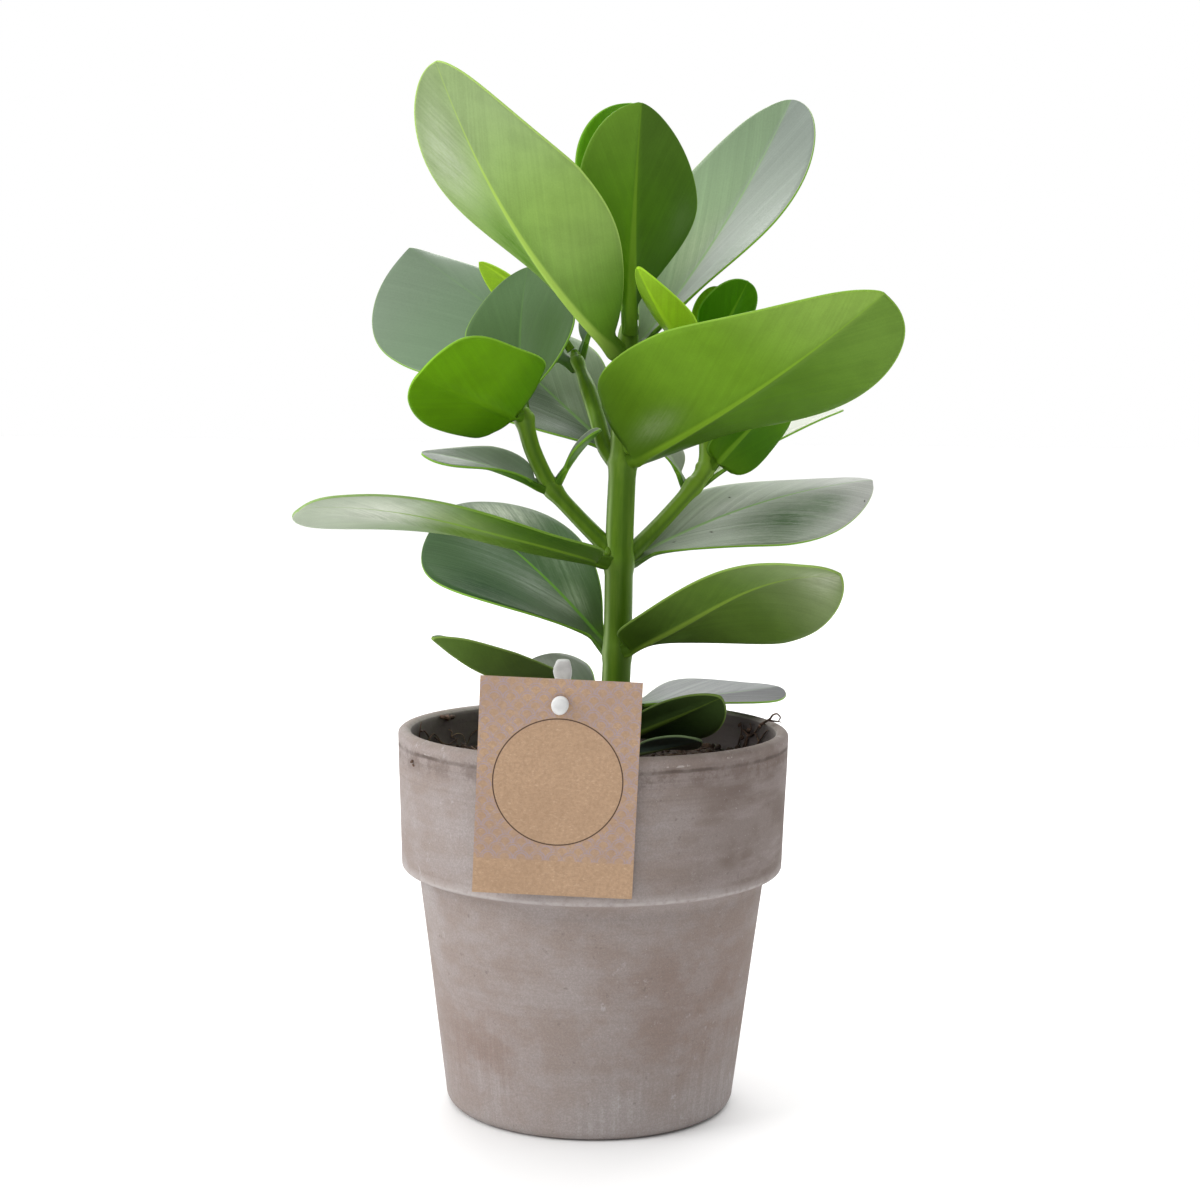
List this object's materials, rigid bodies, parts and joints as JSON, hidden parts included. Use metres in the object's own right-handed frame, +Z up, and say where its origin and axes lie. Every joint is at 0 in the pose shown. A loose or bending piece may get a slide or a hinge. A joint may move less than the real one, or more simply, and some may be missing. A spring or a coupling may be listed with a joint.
{
  "type": "potted house plant",
  "caption": "Potted clusia: upright stem with side shoots and opposite pairs of thick oval leaves, in a grey clay pot of soil, with a plain card tag pegged in front.",
  "frame": {"origin": "Centre of the pot's flat base, on the surface it stands on.", "axes": "+X to the right as seen from the front, where the tag hangs; +Y away from the viewer; +Z up along the stem."},
  "size_m": [0.1911, 0.1411, 0.34],
  "materials": {
    "clay": "matte",
    "earth": "rough",
    "green_stem": "satin",
    "green_leaf": "satin",
    "kraft": "matte",
    "white_plastic": "satin"
  },
  "bodies": {
    "root": {"pot": "clay", "soil": "earth", "stem": "green_stem", "leaf_1_right": "green_leaf", "leaf_2_right": "green_leaf", "leaf_2_left": "green_leaf", "leaf_3_left": "green_leaf", "leaf_3_right": "green_leaf", "leaf_4_left": "green_leaf", "leaf_4_right": "green_leaf", "leaf_5_left": "green_leaf", "leaf_5_right": "green_leaf", "leaf_6_left": "green_leaf", "leaf_6_right": "green_leaf", "leaf_7_left": "green_leaf", "leaf_7_right": "green_leaf", "leaf_8_front": "green_leaf", "leaf_8_back": "green_leaf", "leaf_left_1_out": "green_leaf", "leaf_left_1_in": "green_leaf", "leaf_left_2_front": "green_leaf", "leaf_left_2_back": "green_leaf", "leaf_back_1_out": "green_leaf", "leaf_back_1_in": "green_leaf", "leaf_back_2_out": "green_leaf", "leaf_right_1_in": "green_leaf", "leaf_right_1_out": "green_leaf", "leaf_right_2_front": "green_leaf", "leaf_right_3_left": "green_leaf", "leaf_right_3_right": "green_leaf", "leaf_right_3_back": "green_leaf", "tag": "kraft", "tag_peg": "white_plastic"}
  },
  "joints": []
}
